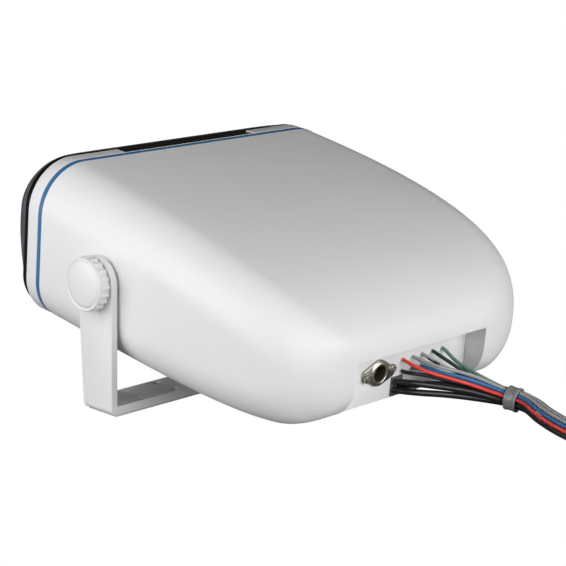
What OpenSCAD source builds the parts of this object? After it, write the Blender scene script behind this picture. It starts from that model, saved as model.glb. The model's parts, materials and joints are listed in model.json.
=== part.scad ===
// Electronic alarm siren on a trunnion bracket, in millimetres.
// Origin: bottom centre of the bracket's pad. +Z up, front (grille) towards -Y, leads towards +Y.
// The head is drawn in its own frame, with its origin on the pivot axis, and placed by in_head().

/* [Housing] */
// Width of the housing
body_w = 220; // [208:1:236]
// Wall of the moulded housing
wall = 2.6; // [2:0.1:3.2]
// Height of the housing's top above the pivot, at the trim band
top_rise = 48.9; // [46:0.1:56]
// Depth of the belly below the pivot, at the trim band
belly_drop = 40.5; // [39:0.5:46]
// How much lower the belly lies at the rear than at the trim band
belly_sag = 11.5; // [8:0.5:14]
// Distance from the pivot to the rear of the housing
rear_reach = 130.8; // [128:0.2:150]
// Depth below the pivot at which the rear wall stands upright
lip_drop = 16.7; // [14:0.1:18]
// Fall of the roof line before it bends down to the rear
roof_fall = 11.6; // [6:0.2:16]
// Radius of the housing's upper edges at the front
top_r = 28; // [20:1:32]
// Radius of the housing's lower edges at the front
low_r = 24; // [18:1:28]
// Radius of the upper and lower edges at the rear
rear_r = 24; // [18:1:28]
// Radius of the heel, from the belly up to the rear wall
heel_r = 24; // [20:1:28]
// Half width of the straight part of the rear
tail_half = 44; // [40:1:50]

/* [Front] */
// Distance from the pivot to the housing's front edge
housing_front = 53.6; // [52:0.2:60]
// Width of the coloured trim band
band_w = 3.4; // [2:0.1:6]
// Width of the white front frame
frame_w = 8.8; // [8:0.2:14]
// Width of the black rim in front of the frame
rim_w = 3.7; // [3:0.1:6]
// How far the grille domes out of the rim
dome_h = 17; // [12:0.5:20]
// Spacing of the grille's slats
slat_pitch = 5; // [4.5:0.25:8]
// Thickness of a slat
slat_t = 2; // [1.4:0.1:2.4]
// Length of the clip strip on top of the front frame
clip_l = 100; // [60:1:130]
// Depth of the clip strip's recess
clip_depth = 2.2; // [1.6:0.1:2.4]

/* [Rear recess] */
// Width of the recess for the leads
recess_w = 101.4; // [96:0.2:112]
// Depth of the recess
recess_d = 13.2; // [10:0.2:16]
// Thickness of the rear panel
panel_t = 2.5; // [2:0.1:3.5]
// Bore of the coaxial socket
socket_bore = 8.4; // [7:0.1:9]
// Outer diameter of the socket's rim
socket_d = 13.6; // [13:0.1:15]
// Spacing of the socket's two screws
socket_pitch = 18.8; // [18:0.2:22]

/* [Bracket] */
// Gap between the housing's side and the bracket's arm
side_gap = 1.4; // [1.2:0.1:4]
// Thickness of the bracket's arms
arm_t = 3.8; // [2.5:0.1:5]
// Width of an arm at its foot
foot_w = 23.4; // [22:0.2:30]
// Diameter of an arm's round head
head_d = 28; // [26:0.2:34]
// Thickness of the bracket's base
base_t = 4.5; // [3:0.1:6]
// Thickness of the pad under the base
pad_t = 1; // [0.8:0.1:3]
// Height of the pivot above the surface that the siren stands on
pivot_h = 71.7; // [70:0.1:90]
// Diameter of the mounting holes
hole_d = 4.4; // [3:0.1:5]
// Distance from the middle to the inner pair of holes
hole_in = 68; // [50:1:74]
// Distance from the middle to the outer pair of holes
hole_out = 92; // [84:1:98]
// Spacing of the holes across the base
hole_across = 16; // [12:0.5:17]

/* [Knobs] */
// Diameter of the knobs over their ribs
knob_d = 29.6; // [26:0.2:34]
// Thickness of a knob
knob_t = 8.4; // [7:0.1:10]
// Number of grip ribs on a knob
knob_ribs = 20; // [12:1:24]
// Thickness of the washer under a knob
washer_t = 1; // [0.5:0.1:1.5]
// Diameter of the clamping studs
stud_d = 6; // [5:0.1:6.5]

/* [Sound unit] */
// Distance from the housing's sides in to the horn's mouth
mouth_side = 17; // [14:0.5:30]
// Distance from the housing's top and bottom in to the horn's mouth
mouth_edge = 11.7; // [10.5:0.1:16]
// Diameter of the horn's throat
throat_d = 25.4; // [22:0.2:28]
// Length of the horn from mouth to throat
horn_l = 50; // [44:1:56]
// Wall of the horn
horn_wall = 2.2; // [1.8:0.1:3]
// Diameter of the driver's magnet
magnet_d = 62; // [56:1:66]
// Thickness of the driver's magnet
magnet_t = 12; // [9:0.5:15]
// Thickness of the driver's steel plates
plate_t = 5; // [4:0.5:6]

/* [Leads] */
// Diameter of a signal lead
lead_d = 2; // [1.6:0.1:2.1]
// Diameter of a supply cable
cable_d = 3.6; // [3:0.1:3.7]
// Bore of the ring round the leads
ring_bore = 11.6; // [11.5:0.1:12]
// Outer diameter of the ring round the leads
ring_d = 13.4; // [13:0.1:15]
// Width of the ring round the leads
ring_w = 7; // [5:0.2:7.4]

/* [Hidden] */

rest_tilt = 6.3;        // how far the front is tipped up at rest
play = 0.1;             // gap between faces that turn on each other
fit = 0.25;             // gap round a part that drops into its seat
arc_steps = 8;          // steps in each corner of a moulded outline
stations = 22;          // sections along the housing
$fn = 48;

// Lengthwise stations of the head, from the pivot (front is negative)
band_y = -housing_front - band_w;
frame_y = band_y - frame_w;
rim_y = frame_y - rim_w;
mid_z = (top_rise - belly_drop) / 2;
half_w = body_w / 2;
half_h = (top_rise + belly_drop) / 2;
rear_belly = belly_drop + belly_sag;
roof_bend = 0.61 * rear_reach;
side_bend = 0.765 * rear_reach;
nose_z = 31.7 - lip_drop;
panel_y = rear_reach - recess_d;
disc_t = side_gap - play;
arm_in = half_w + side_gap;
arm_out = arm_in + arm_t;
knob_x = arm_out + washer_t + play;
stud_play = 0.05;
stud_in = half_w - 14;
insert_l = 16;
insert_d = stud_d + 2.4;
boss_d = insert_d + 6;
mouth_w = body_w - 2 * mouth_side;
mouth_h = 2 * (half_h - mouth_edge);

// ---------- shared shapes ----------

module in_head() translate([0, 0, pivot_h]) rotate([-rest_tilt, 0, 0]) children();
module mirrored() { children(); mirror([1, 0, 0]) children(); }
// A cylinder along +Y from y = from, and one along +X from x = from
module rod_y(d, l, from = 0) translate([0, from, 0]) rotate([-90, 0, 0]) cylinder(d = d, h = l);
module rod_x(d, l, from = 0) translate([from, 0, 0]) rotate([0, 90, 0]) cylinder(d = d, h = l);
// A part drawn round +Z is laid along +Y
module lay_y() rotate([-90, 0, 0]) children();
module disc_y(d, bore, l, from) translate([0, from, 0]) lay_y()
    difference() {
        cylinder(d = d, h = l);
        translate([0, 0, -1]) cylinder(d = bore, h = l + 2);
    }
// Pan-head screw: shank along +Z below the face at z = 0, head above it
module pan_screw(d, l) {
    translate([0, 0, -l]) cylinder(d = d, h = l);
    difference() {
        rotate_extrude() polygon([[0, 0], [d, 0], [d, d * 0.35], [d * 0.8, d * 0.6], [0, d * 0.66]]);
        for (a = [0, 90]) rotate(a) translate([-d * 0.55, -d * 0.09, d * 0.4]) cube([d * 1.1, d * 0.18, d]);
    }
}

function bezier(p, t) = pow(1 - t, 3) * p[0] + 3 * pow(1 - t, 2) * t * p[1]
    + 3 * (1 - t) * t * t * p[2] + pow(t, 3) * p[3];
function curve(p) = [for (k = [0:60]) bezier(p, k / 60)];
function mix(a, b, f) = a + (b - a) * f;
function reversed(list) = [for (k = [len(list) - 1:-1:0]) list[k]];
function corner(cx, cz, r, from) = [for (k = [0:arc_steps])
    let(a = from + 90 * k / arc_steps) [cx + r * cos(a), cz + r * sin(a)]];
function rounded(half, low, high, rl, rt) = concat(
    corner(half - rt, high - rt, rt, 0), corner(rt - half, high - rt, rt, 90),
    corner(rl - half, low + rl, rl, 180), corner(half - rl, low + rl, rl, 270));

// The solid through rings of points, which all have the same number of points
module skin(rings) {
    n = len(rings[0]);
    m = len(rings);
    polyhedron(convexity = 6, points = [for (r = rings) each r], faces = concat(
        [[for (k = [0:n - 1]) k]],
        [for (j = [0:m - 2], k = [0:n - 1])
            let(a = j * n + k, b = j * n + (k + 1) % n)
            each [[a, a + n, b + n], [a, b + n, b]]],
        [[for (k = [n - 1:-1:0]) (m - 1) * n + k]]));
}

// The front outline of the head, set in by a margin, drawn in X and Z and extruded along +Y
module outline(inset) polygon(rounded(half_w - inset, -belly_drop + inset, top_rise - inset,
    low_r - inset, top_r - inset));
module along_y(from, to) translate([0, to, 0]) rotate([90, 0, 0]) linear_extrude(to - from) children();
module band(from, to, outer, inner) along_y(from, to)
    difference() { outline(outer); outline(inner); }

// ---------- housing form ----------

top_curve = curve([[band_y, top_rise], [roof_bend, top_rise - roof_fall],
    [rear_reach, nose_z], [rear_reach, -lip_drop]]);
side_curve = curve([[band_y, half_w], [side_bend, half_w], [rear_reach, half_w], [rear_reach, tail_half]]);
function share(y) = (y - band_y) / (rear_reach - band_y);
function heel(y) = y <= rear_reach - heel_r ? 0
    : heel_r - sqrt(max(0, heel_r * heel_r - pow(y - rear_reach + heel_r, 2)));
function belly_at(y) = heel(y) - mix(belly_drop, rear_belly, share(y));
function section(y, inset) =
    let(high = lookup(y, top_curve), low = belly_at(y),
        rt = mix(top_r, rear_r, share(y)), rl = mix(low_r, rear_r, share(y)),
        fill = min(1, 0.98 * (high - low) / (rt + rl)))
    rounded(lookup(y, side_curve) - inset, low + inset, high - inset,
        max(rl * fill - inset, 0.6), max(rt * fill - inset, 0.6));
function rings(inset, n) = [for (j = [0:n])
    let(y = mix(-housing_front, rear_reach - inset, sin(90 * j / n)))
    [for (p = section(y + inset, inset)) [p[0], y, p[1]]]];
module shell() skin(concat(reversed(rings(0, stations)), rings(wall, 14)));
module core(inset) skin(reversed(rings(inset, 16)));

ledge = 3;                      // width of the seat that the rear panel lies on
ledge_y = panel_y - panel_t;    // rear face of that seat
sill = -belly_at(panel_y);      // depth of the panel's lower edge

module rear_housing() color("white") in_head() difference() {
    union() {
        shell();
        intersection() {
            core(wall / 2);
            translate([-recess_w / 2 - wall, ledge_y - panel_t, -2 * rear_belly])
                cube([recess_w + 2 * wall, 2 * recess_d + 2 * panel_t, 2 * rear_belly - lip_drop + wall]);
        }
        mirrored() rod_x(boss_d, insert_l - wall / 2, half_w - insert_l);
        for (p = board_posts) translate([p[0], p[1], belly_at(p[1]) + wall / 2])
            cylinder(d = 7, h = board_z - belly_at(p[1]) - wall / 2);
    }
    translate([-recess_w / 2, ledge_y, -2 * rear_belly])
        cube([recess_w, 2 * recess_d + panel_t, 2 * rear_belly - lip_drop]);
    translate([ledge - recess_w / 2, ledge_y - 2 * panel_t, -sill + wall + ledge])
        cube([recess_w - 2 * ledge, 4 * panel_t, sill - wall - 2 * ledge - lip_drop]);
    along_y(-housing_front - 1, spigot_l + 0.2 - housing_front) outline(wall - play);
    mirrored() rod_x(insert_d, insert_l + wall, half_w - insert_l - 1);
    for (p = board_posts) translate([p[0], p[1], board_z - 6]) cylinder(d = post_bore, h = 10);
    for (p = panel_screw_spots) translate([p[0], 0, p[1]]) rod_y(2, 4 * panel_t, ledge_y - 2.5 * panel_t);
}

// ---------- front ----------

spigot_l = 7;           // how far the front frame reaches into the housing
spigot_t = 1.8;
frame_t = 3;
flange_y = frame_y + 3.2;
flange_t = 2.6;
seal_w = 2;
seal_y = 1 - housing_front;

module trim_band() color("steelblue") in_head() band(band_y, -housing_front, 0, wall);

module front_frame() color("white") in_head() difference() {
    union() {
        band(frame_y, band_y, 0, frame_t);
        band(band_y - 1.5, spigot_l - housing_front, wall, wall + spigot_t);
        band(flange_y, flange_y + flange_t, 1, mouth_edge);
    }
    translate([-clip_l / 2, frame_y - 1, top_rise - clip_depth]) cube([clip_l, frame_w + 1, clip_depth + 1]);
    band(seal_y, seal_y + seal_w, wall - 1, wall + 1);
    for (p = horn_screw_spots) translate([p[0], 0, mid_z + p[1]]) rod_y(2.6, flange_t + 2, flange_y - 1);
}

module seal_ring() color("dimgray") in_head() band(seal_y, seal_y + seal_w, wall - play, wall + 1);

module front_rim() color("black") in_head() union() {
    band(rim_y, frame_y, 0.4, 7);
    band(frame_y, flange_y, frame_t + fit, 6);
}

clip_t = clip_depth - 0.5;      // the strip lies a little below the frame's face
module clip_strip() color("black") in_head() difference() {
    translate([-clip_l / 2 + fit, frame_y, top_rise - clip_depth]) cube([clip_l - 2 * fit, frame_w, clip_t]);
    for (s = [-1, 0, 1]) translate([s * clip_l / 6 - clip_l / 40, frame_y + frame_w / 2 - 0.6,
        top_rise - clip_depth + clip_t - 0.5]) cube([clip_l / 20, 1.2, 1]);
}

// Grille: a domed shell with level slots, whose edge stands on the rim, with upright ribs behind its slats
grille_in = 1.6;                // the dome's edge, set in from the outline
grille_wall = 2;
edge_t = 1.2;                   // height of the dome's edge above the rim
slot_margin = 9;                // from the ends of the slots to the outline
slot_low = 27;                  // the slots lie between these two heights, below and above the pivot
slot_high = 38;
crown_z = mid_z + 6.8;          // height at which the dome stands out most
// Half width of the outline at height z, set in by a margin
function reach_at(z, inset) =
    let(rt = top_r - inset, rl = low_r - inset,
        dt = max(0, z - (top_rise - top_r)), dl = max(0, low_r - belly_drop - z))
    dt > 0 ? half_w - top_r + sqrt(max(0, rt * rt - dt * dt))
        : half_w - low_r + sqrt(max(0, rl * rl - dl * dl));
function bulge_at(z) = edge_t + (dome_h - edge_t) * (1 - pow(min(1, z < crown_z
    ? (crown_z - z) / (0.64 * (crown_z + belly_drop - grille_in))
    : (z - crown_z) / (1.16 * (top_rise - grille_in - crown_z))), 2));
// A level section of the dome: flat over the middle, round towards its ends
dome_steps = [0, 2, 6, 12, 20, 30, 42, 54, 66, 78, 90];
function dome_section(z, inset, depth) =
    let(r = reach_at(z, inset), half = [for (a = dome_steps) [r * pow(sin(a), 1 / 6), rim_y - depth * cos(a), z]])
    concat([for (k = [len(half) - 1:-1:1]) [-half[k][0], half[k][1], z]], half);
module dome(inset, sink, levels, back) {
    low = inset - belly_drop + 0.3;
    high = top_rise - inset - 0.3;
    skin([for (j = [0:levels])
        let(z = mix(low, high, (1 - cos(180 * j / levels)) / 2), p = dome_section(z, inset, bulge_at(z) - sink))
        back == 0 ? p : concat(p, [[reach_at(z, inset), rim_y + back, z], [-reach_at(z, inset), rim_y + back, z]])]);
}
slots = [for (k = [0:30]) let(z = mid_z + (k - 15) * slat_pitch) if (z > -slot_low && z < slot_high) z];
module grille_rib(x) translate([x - 1, 0, 0]) rotate([90, 0, 90]) linear_extrude(2)
    let(z = [for (k = [0:20]) mix(slots[0] - slat_pitch / 2, slots[len(slots) - 1] + slat_pitch / 2, k / 20)])
    polygon(concat([for (h = z) [rim_y - bulge_at(h) + 1, h]],
        [for (h = reversed(z)) [rim_y - bulge_at(h) + grille_wall + 3, h]]));
module front_grille() color([0.13, 0.14, 0.15]) in_head() {
    band(rim_y - edge_t, rim_y, grille_in, 6);
    difference() {
        dome(grille_in, 0, 18, 0);
        dome(grille_in + grille_wall, grille_wall, 14, 2);
        for (z = slots) translate([slot_margin - reach_at(z, 0), rim_y - dome_h - 1, z - (slat_pitch - slat_t) / 2])
            cube([2 * (reach_at(z, 0) - slot_margin), dome_h + 2, slat_pitch - slat_t]);
    }
    for (k = [-2:2]) grille_rib(k * (half_w - grille_in) * 0.36);
}

// ---------- bracket and knobs ----------

bend_r = 3.2;           // outer radius of the bend between base and arm
module mounting_bracket() color("white") difference() {
    intersection() {
        rotate([90, 0, 0]) translate([0, 0, -head_d]) linear_extrude(2 * head_d) difference() {
            u_form(arm_out, pad_t, bend_r);
            u_form(arm_in, pad_t + base_t, 0.8);
        }
        rotate([90, 0, 90]) translate([0, 0, -body_w]) linear_extrude(2 * body_w) {
            polygon([[-foot_w / 2, 0], [foot_w / 2, 0], [head_d / 2, pivot_h], [-head_d / 2, pivot_h]]);
            translate([0, pivot_h]) circle(d = head_d);
        }
    }
    translate([0, 0, pivot_h]) rod_x(stud_d + 0.4, 2 * body_w, -body_w);
    base_holes();
}
module u_form(half, low, r) {
    translate([-half, low + r]) square([2 * half, 2 * pivot_h]);
    translate([r - half, low]) square([2 * (half - r), 2 * r]);
    for (s = [-1, 1]) translate([s * (half - r), low + r]) circle(r = r);
}
module base_holes() for (x = [-hole_out, -hole_in, hole_in, hole_out], s = [-1, 1])
    translate([x, s * hole_across / 2, -1]) cylinder(d = hole_d, h = pad_t + base_t + 2);

module base_pad() color("lightgray") difference() {
    translate([bend_r - arm_out, -foot_w / 2 + fit, 0]) cube([2 * (arm_out - bend_r), foot_w - 2 * fit, pad_t]);
    base_holes();
}

module at_pivot() translate([0, 0, pivot_h]) children();

// A knob on the +X side, drawn from its inner face outwards
module knob() {
    r = knob_d / 2 - 0.9;
    difference() {
        union() {
            translate([knob_x, 0, 0]) rotate([0, 90, 0]) rotate_extrude() polygon([[0, 0], [r - 1, 0], [r, 0.8],
                [r, knob_t - 4.1], [r + 0.5, knob_t - 3.6], [r + 0.5, knob_t - 2.1], [r - 0.2, knob_t - 1.4],
                [r - 1, knob_t - 1.4], [r - 1.4, knob_t - 1.9], [r - 1.8, knob_t - 1.5], [r - 4, knob_t - 0.6],
                [r - 8, knob_t - 0.1], [0, knob_t]]);
            for (k = [0:knob_ribs - 1]) rotate([k * 360 / knob_ribs, 0, 0]) translate([0, r - 0.1, 0])
                rod_x(2, knob_t - 3.4, knob_x);
        }
        rod_x(stud_d, knob_t - 2.5 + 1, knob_x - 1);
    }
}
module knob_stud() rod_x(stud_d, knob_x + knob_t - 2.5 - stud_in, stud_in);
module washer() translate([arm_out, 0, 0]) rotate([0, 90, 0]) difference() {
    cylinder(d = head_d - 8, h = washer_t);
    translate([0, 0, -1]) cylinder(d = stud_d + 0.4, h = washer_t + 2);
}
module knob_left() color("white") at_pivot() knob();
module knob_right() color("white") at_pivot() mirror([1, 0, 0]) knob();
module knob_stud_left() color("silver") at_pivot() knob_stud();
module knob_stud_right() color("silver") at_pivot() mirror([1, 0, 0]) knob_stud();
module washer_left() color("gainsboro") at_pivot() washer();
module washer_right() color("gainsboro") at_pivot() mirror([1, 0, 0]) washer();

module friction_discs() color("dimgray") in_head() mirrored() translate([half_w, 0, 0]) rotate([0, 90, 0])
    difference() {
        cylinder(d = head_d - 8, h = disc_t);
        translate([0, 0, -1]) cylinder(d = stud_d + 0.4, h = disc_t + 2);
    }
module pivot_inserts() color("goldenrod") in_head() mirrored() difference() {
    rod_x(insert_d, insert_l, half_w - insert_l);
    rod_x(stud_d + 2 * stud_play, insert_l + 2, half_w - insert_l - 1);
}

// ---------- horn and driver ----------

horn_y = flange_y + flange_t;           // rear face of the frame's inner flange
throat_y = horn_y + horn_l;
horn_steps = 10;
rest = 4 * (arc_steps + 1);
horn_flange_t = 2.4;
cover_t = 2;
cover_d = magnet_d + 2 * cover_t + 0.6;
driver_d = cover_d + 1;
lug_r = 4;
lug_at = cover_d / 2 + 3.2;     // from the driver's axis out to its screws
module driver_flange(h) {
    cylinder(d = driver_d, h = h);
    for (a = [45:90:315]) rotate(a) translate([lug_at, 0, 0]) cylinder(r = lug_r, h = h);
}
horn_screw_in = 4;      // from the horn's mouth out to its screws
horn_screw_spots = [for (x = [-0.75, -0.25, 0.25, 0.75], s = [-1, 1])
    [x * mouth_w / 2, s * (mouth_h / 2 + horn_screw_in)]];

// Horn section: a share f of 0 is the mouth and 1 is the throat
function horn_ring(f, out) =
    let(open = pow(1 - f, 1.7), half = mix(throat_d / 2, mouth_w / 2, open) + out,
        high = mix(throat_d / 2, mouth_h / 2, open) + out, r = mix(throat_d / 2, 14, open) + out)
    [for (p = rounded(half + 0.02, -high - 0.02, high + 0.02, r, r)) [p[0], mix(horn_y, throat_y, f), mid_z + p[1]]];
module horn_flare() color("dimgray") in_head() difference() {
    union() {
        skin([for (k = [horn_steps:-1:0]) horn_ring(k / horn_steps, horn_wall)]);
        along_y(horn_y, horn_y + horn_flange_t) outline(wall + spigot_t + fit);
        translate([0, throat_y - 4, mid_z]) lay_y() driver_flange(4);
    }
    skin([for (k = [horn_steps:-1:0]) let(o = k == 0 ? 1 : 0)
        [for (p = horn_ring(k / horn_steps, 0)) [p[0], p[1] - o, p[2]]]]);
    translate([0, throat_y - 5, mid_z]) lay_y() cylinder(d = throat_d, h = 10);
    for (p = horn_screw_spots) translate([p[0], 0, mid_z + p[1]]) rod_y(2.6, horn_flange_t + 2, horn_y - 1);
    driver_bolts(2.6, 8, throat_y - 6);
}
module driver_bolts(d, l, from) for (a = [45:90:315])
    translate([lug_at * cos(a), 0, mid_z + lug_at * sin(a)]) rod_y(d, l, from);

module horn_screws() color("silver") in_head() for (p = horn_screw_spots)
    translate([p[0], horn_y + horn_flange_t, mid_z + p[1]]) lay_y() pan_screw(2.6, horn_flange_t + flange_t);

coil_d = throat_d + 1.2;                // voice coil
coil_gap = 0.5;
plate_y = throat_y + 3;
magnet_y = plate_y + plate_t;
yoke_y = magnet_y + magnet_t;
pole_d = coil_d - 1 - 2 * coil_gap;

seat_w = 6;                             // width of the driver's clamping ring
dome_z = 2.6;
module phase_plug() color("gainsboro") in_head() translate([0, throat_y, mid_z]) lay_y() {
    difference() {
        cylinder(d = magnet_d, h = dome_z);
        translate([0, 0, -1]) cylinder(d = magnet_d - 2 * seat_w, h = dome_z + 2);
    }
    for (a = [90, 210, 330]) rotate(a) translate([0, -1.2, 0]) cube([magnet_d / 2 - seat_w + 1, 2.4, 0.8]);
    translate([0, 0, -9]) cylinder(d1 = 2, d2 = throat_d * 0.7, h = 9.8);
}
module diaphragm() color("tan") in_head() translate([0, throat_y, mid_z]) lay_y() rotate_extrude()
    polygon([[0, 1.2], [coil_d * 0.3, 1.6], [coil_d / 2 - 1, dome_z], [magnet_d / 2, dome_z], [magnet_d / 2, 3],
        [coil_d / 2 - 1, 3], [coil_d * 0.3, 2], [0, 1.6]]);
module voice_coil() color("orange") in_head() translate([0, 0, mid_z])
    disc_y(coil_d, coil_d - 1, plate_t + 1, plate_y);
module top_plate() color("silver") in_head() translate([0, 0, mid_z])
    disc_y(magnet_d, coil_d + 2 * coil_gap, plate_t, plate_y);
module magnet() color("dimgray") in_head() translate([0, 0, mid_z])
    disc_y(magnet_d, coil_d + 9, magnet_t, magnet_y);
module yoke() color("silver") in_head() translate([0, 0, mid_z]) {
    rod_y(pole_d, yoke_y - plate_y, plate_y + 0.6);
    rod_y(magnet_d, plate_t, yoke_y);
}
cover_l = yoke_y + plate_t + 0.4 - throat_y;
module driver_cover() color("dimgray") in_head() translate([0, 0, mid_z]) difference() {
    union() {
        rod_y(cover_d, cover_l + cover_t, throat_y);
        translate([0, throat_y, 0]) lay_y() driver_flange(3);
    }
    rod_y(magnet_d + 0.6, cover_l + 1, throat_y - 1);
    translate([0, 0, -mid_z]) driver_bolts(2.6, 6, throat_y - 1);
}
module driver_screws() color("silver") in_head() for (a = [45:90:315])
    translate([lug_at * cos(a), throat_y + 3, mid_z + lug_at * sin(a)]) lay_y() pan_screw(2.6, 7);

// ---------- amplifier ----------

board_t = 1.6;
board_z = mid_z - driver_d / 2 - 0.6 - board_t;     // underside of the board, which clears the driver
board_l = [-28, 46];    // from, to
board_half = 82;
post_bore = 2.2;
board_posts = [for (s = [-1, 1], y = board_l) [s * (board_half - 5), y + (y < 0 ? 5 : -5)]];
deck = board_z + board_t;
core_size = [42, 16, 34];
core_at = [58, -10];
module on_board(x, y) in_head() translate([x, y, deck]) children();

module amplifier_board() color("darkgreen") in_head() difference() {
    translate([-board_half, board_l[0], board_z]) cube([2 * board_half, board_l[1] - board_l[0], board_t]);
    for (p = board_posts) translate([p[0], p[1], board_z - 1]) cylinder(d = 2.8, h = board_t + 2);
}
module board_screws() color("silver") in_head() for (p = board_posts)
    translate([p[0], p[1], deck]) pan_screw(2.2, board_t + 5);

// Laminated core with two windows, and its winding on the middle limb
limb = 7;
limb_half = 5.4;
window_w = 10.6;
module transformer_core() color("gray") on_board(core_at[0], core_at[1]) difference() {
    translate([-core_size[0] / 2, -core_size[1] / 2, 0]) cube(core_size);
    for (s = [0, 1]) mirror([s, 0, 0]) translate([limb_half, -core_size[1], limb])
        cube([window_w, 2 * core_size[1], core_size[2] - 2 * limb]);
}
module transformer_coil() color("peru") on_board(core_at[0], core_at[1]) difference() {
    translate([0.4 - limb_half - window_w, -core_size[1] / 2 - 6, limb + 0.5])
        cube([2 * (limb_half + window_w - 0.4), core_size[1] + 12, core_size[2] - 2 * limb - 1]);
    translate([-limb_half - 0.2, -core_size[1] / 2 - 0.3, 0])
        cube([2 * limb_half + 0.4, core_size[1] + 0.6, core_size[2]]);
}
sink_at = [-56, -8];
sink_size = [34, 30, 30];
module heat_sink() color("silver") on_board(sink_at[0], sink_at[1]) {
    translate([-sink_size[0] / 2, sink_size[1] / 2 - 3, 0]) cube([sink_size[0], 3, sink_size[2]]);
    for (k = [0:6]) translate([-sink_size[0] / 2 + k * (sink_size[0] - 1.6) / 6, -sink_size[1] / 2, 0])
        cube([1.6, sink_size[1] - 2, sink_size[2]]);
}
module power_transistors() color([0.15, 0.15, 0.15]) for (s = [-1, 1])
    on_board(sink_at[0] + s * 9, sink_at[1] + sink_size[1] / 2) {
        translate([-5, 0, 6]) cube([10, 4.4, 15]);
        translate([-5, 0, 21]) cube([10, 1.3, 6]);
        for (x = [-3.2, -0.5, 2.2]) translate([x, 1.6, 0]) cube([1, 0.7, 6.5]);
    }
cap_d = 11;
cap_h = 18;
module capacitors() color("midnightblue") for (s = [-1, 1], k = [0, 1])
    on_board(s * (board_half - 8 - k * (cap_d + 3)), board_l[1] - 16) cylinder(d = cap_d, h = cap_h);
module tone_chip() color([0.1, 0.1, 0.1]) on_board(28, board_l[1] - 12) {
    translate([-13, -3.2, 1]) cube([26, 6.4, 3.4]);
    for (x = [-12:2.6:12], s = [-1, 1]) translate([x - 0.3, s * 3.5 - 0.3, 0]) cube([0.6, 0.6, 3]);
}
pole_pitch = 4.9;
poles = 11;
block_w = poles * pole_pitch;
module terminal_block() color("seagreen") on_board(-24, board_l[1] - 8) difference() {
    translate([-block_w / 2, -4.5, 0]) cube([block_w, 9, 11]);
    for (k = [0:poles - 1]) translate([(k - (poles - 1) / 2) * pole_pitch, 0, 0]) {
        translate([-1.6, 1, 2]) cube([3.2, 10, 4]);
        translate([0, 0, 7]) cylinder(d = 3, h = 10);
    }
}

// ---------- rear panel, socket and leads ----------

socket_at = [20, -32];
socket_turn = 6;        // the socket sits turned by this much on the panel
socket_reach = max(socket_pitch / 2, socket_d / 2 + 2.6);   // from the socket's axis to a screw's
socket_screw_spots = [for (s = [-1, 1]) s * socket_reach * [cos(socket_turn), -sin(socket_turn)]];
flange_r = 3.5;
lead_top_z = -28.5;
lead_low_z = -34.9;
upper_x = [1.1, -7, -14.5, -22.8, -30.8];
lower_x = [1.1, -7, -14.5];
lead_spots = concat([for (x = upper_x) [x, lead_top_z]], [for (x = lower_x) [x, lead_low_z]]);
cable_spots = [[6.2, -39.7], [6.2, -44.4], [1.8, -42.6]];
gland_low = [-0.6, -sill + 0.4];
gland_size = [9.4, sill - 37.2];
seal_d = 2.8;
panel_screw_spots = [for (s = [-1, 1]) [s * (recess_w / 2 - 3.4), -sill + 3.4]];

module rear_panel() color("white") in_head() difference() {
    translate([-recess_w / 2 + fit, ledge_y, -sill + 0.2])
        cube([recess_w - 2 * fit, panel_t, sill - 0.2 - lip_drop - fit]);
    translate([socket_at[0], 0, socket_at[1]]) {
        rod_y(barrel_d + 0.4, panel_t + 2, ledge_y - 1);
        for (p = socket_screw_spots) translate([p[0], 0, p[1]]) rod_y(socket_screw_d, panel_t + 2, ledge_y - 1);
    }
    for (p = lead_spots) translate([p[0], 0, p[1]]) rod_y(seal_d, panel_t + 2, ledge_y - 1);
    translate([gland_low[0], ledge_y - 1, gland_low[1] - 5]) cube([gland_size[0], panel_t + 2, gland_size[1] + 4.6]);
    for (p = panel_screw_spots) translate([p[0], 0, p[1]]) rod_y(2.2, panel_t + 2, ledge_y - 1);
}
module panel_screws() color("silver") in_head() for (p = panel_screw_spots)
    translate([p[0], panel_y, p[1]]) lay_y() pan_screw(2, panel_t + 2);

module lead_seals() color("gainsboro") in_head() for (p = lead_spots)
    translate([p[0], 0, p[1]]) rod_y(seal_d, panel_t + 0.4, ledge_y);
module cable_gland() color([0.2, 0.2, 0.2]) in_head()
    translate([gland_low[0] + fit, ledge_y, gland_low[1]])
        cube([gland_size[0] - 2 * fit, panel_t + 0.4, gland_size[1] - 0.4 - fit]);

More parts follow.
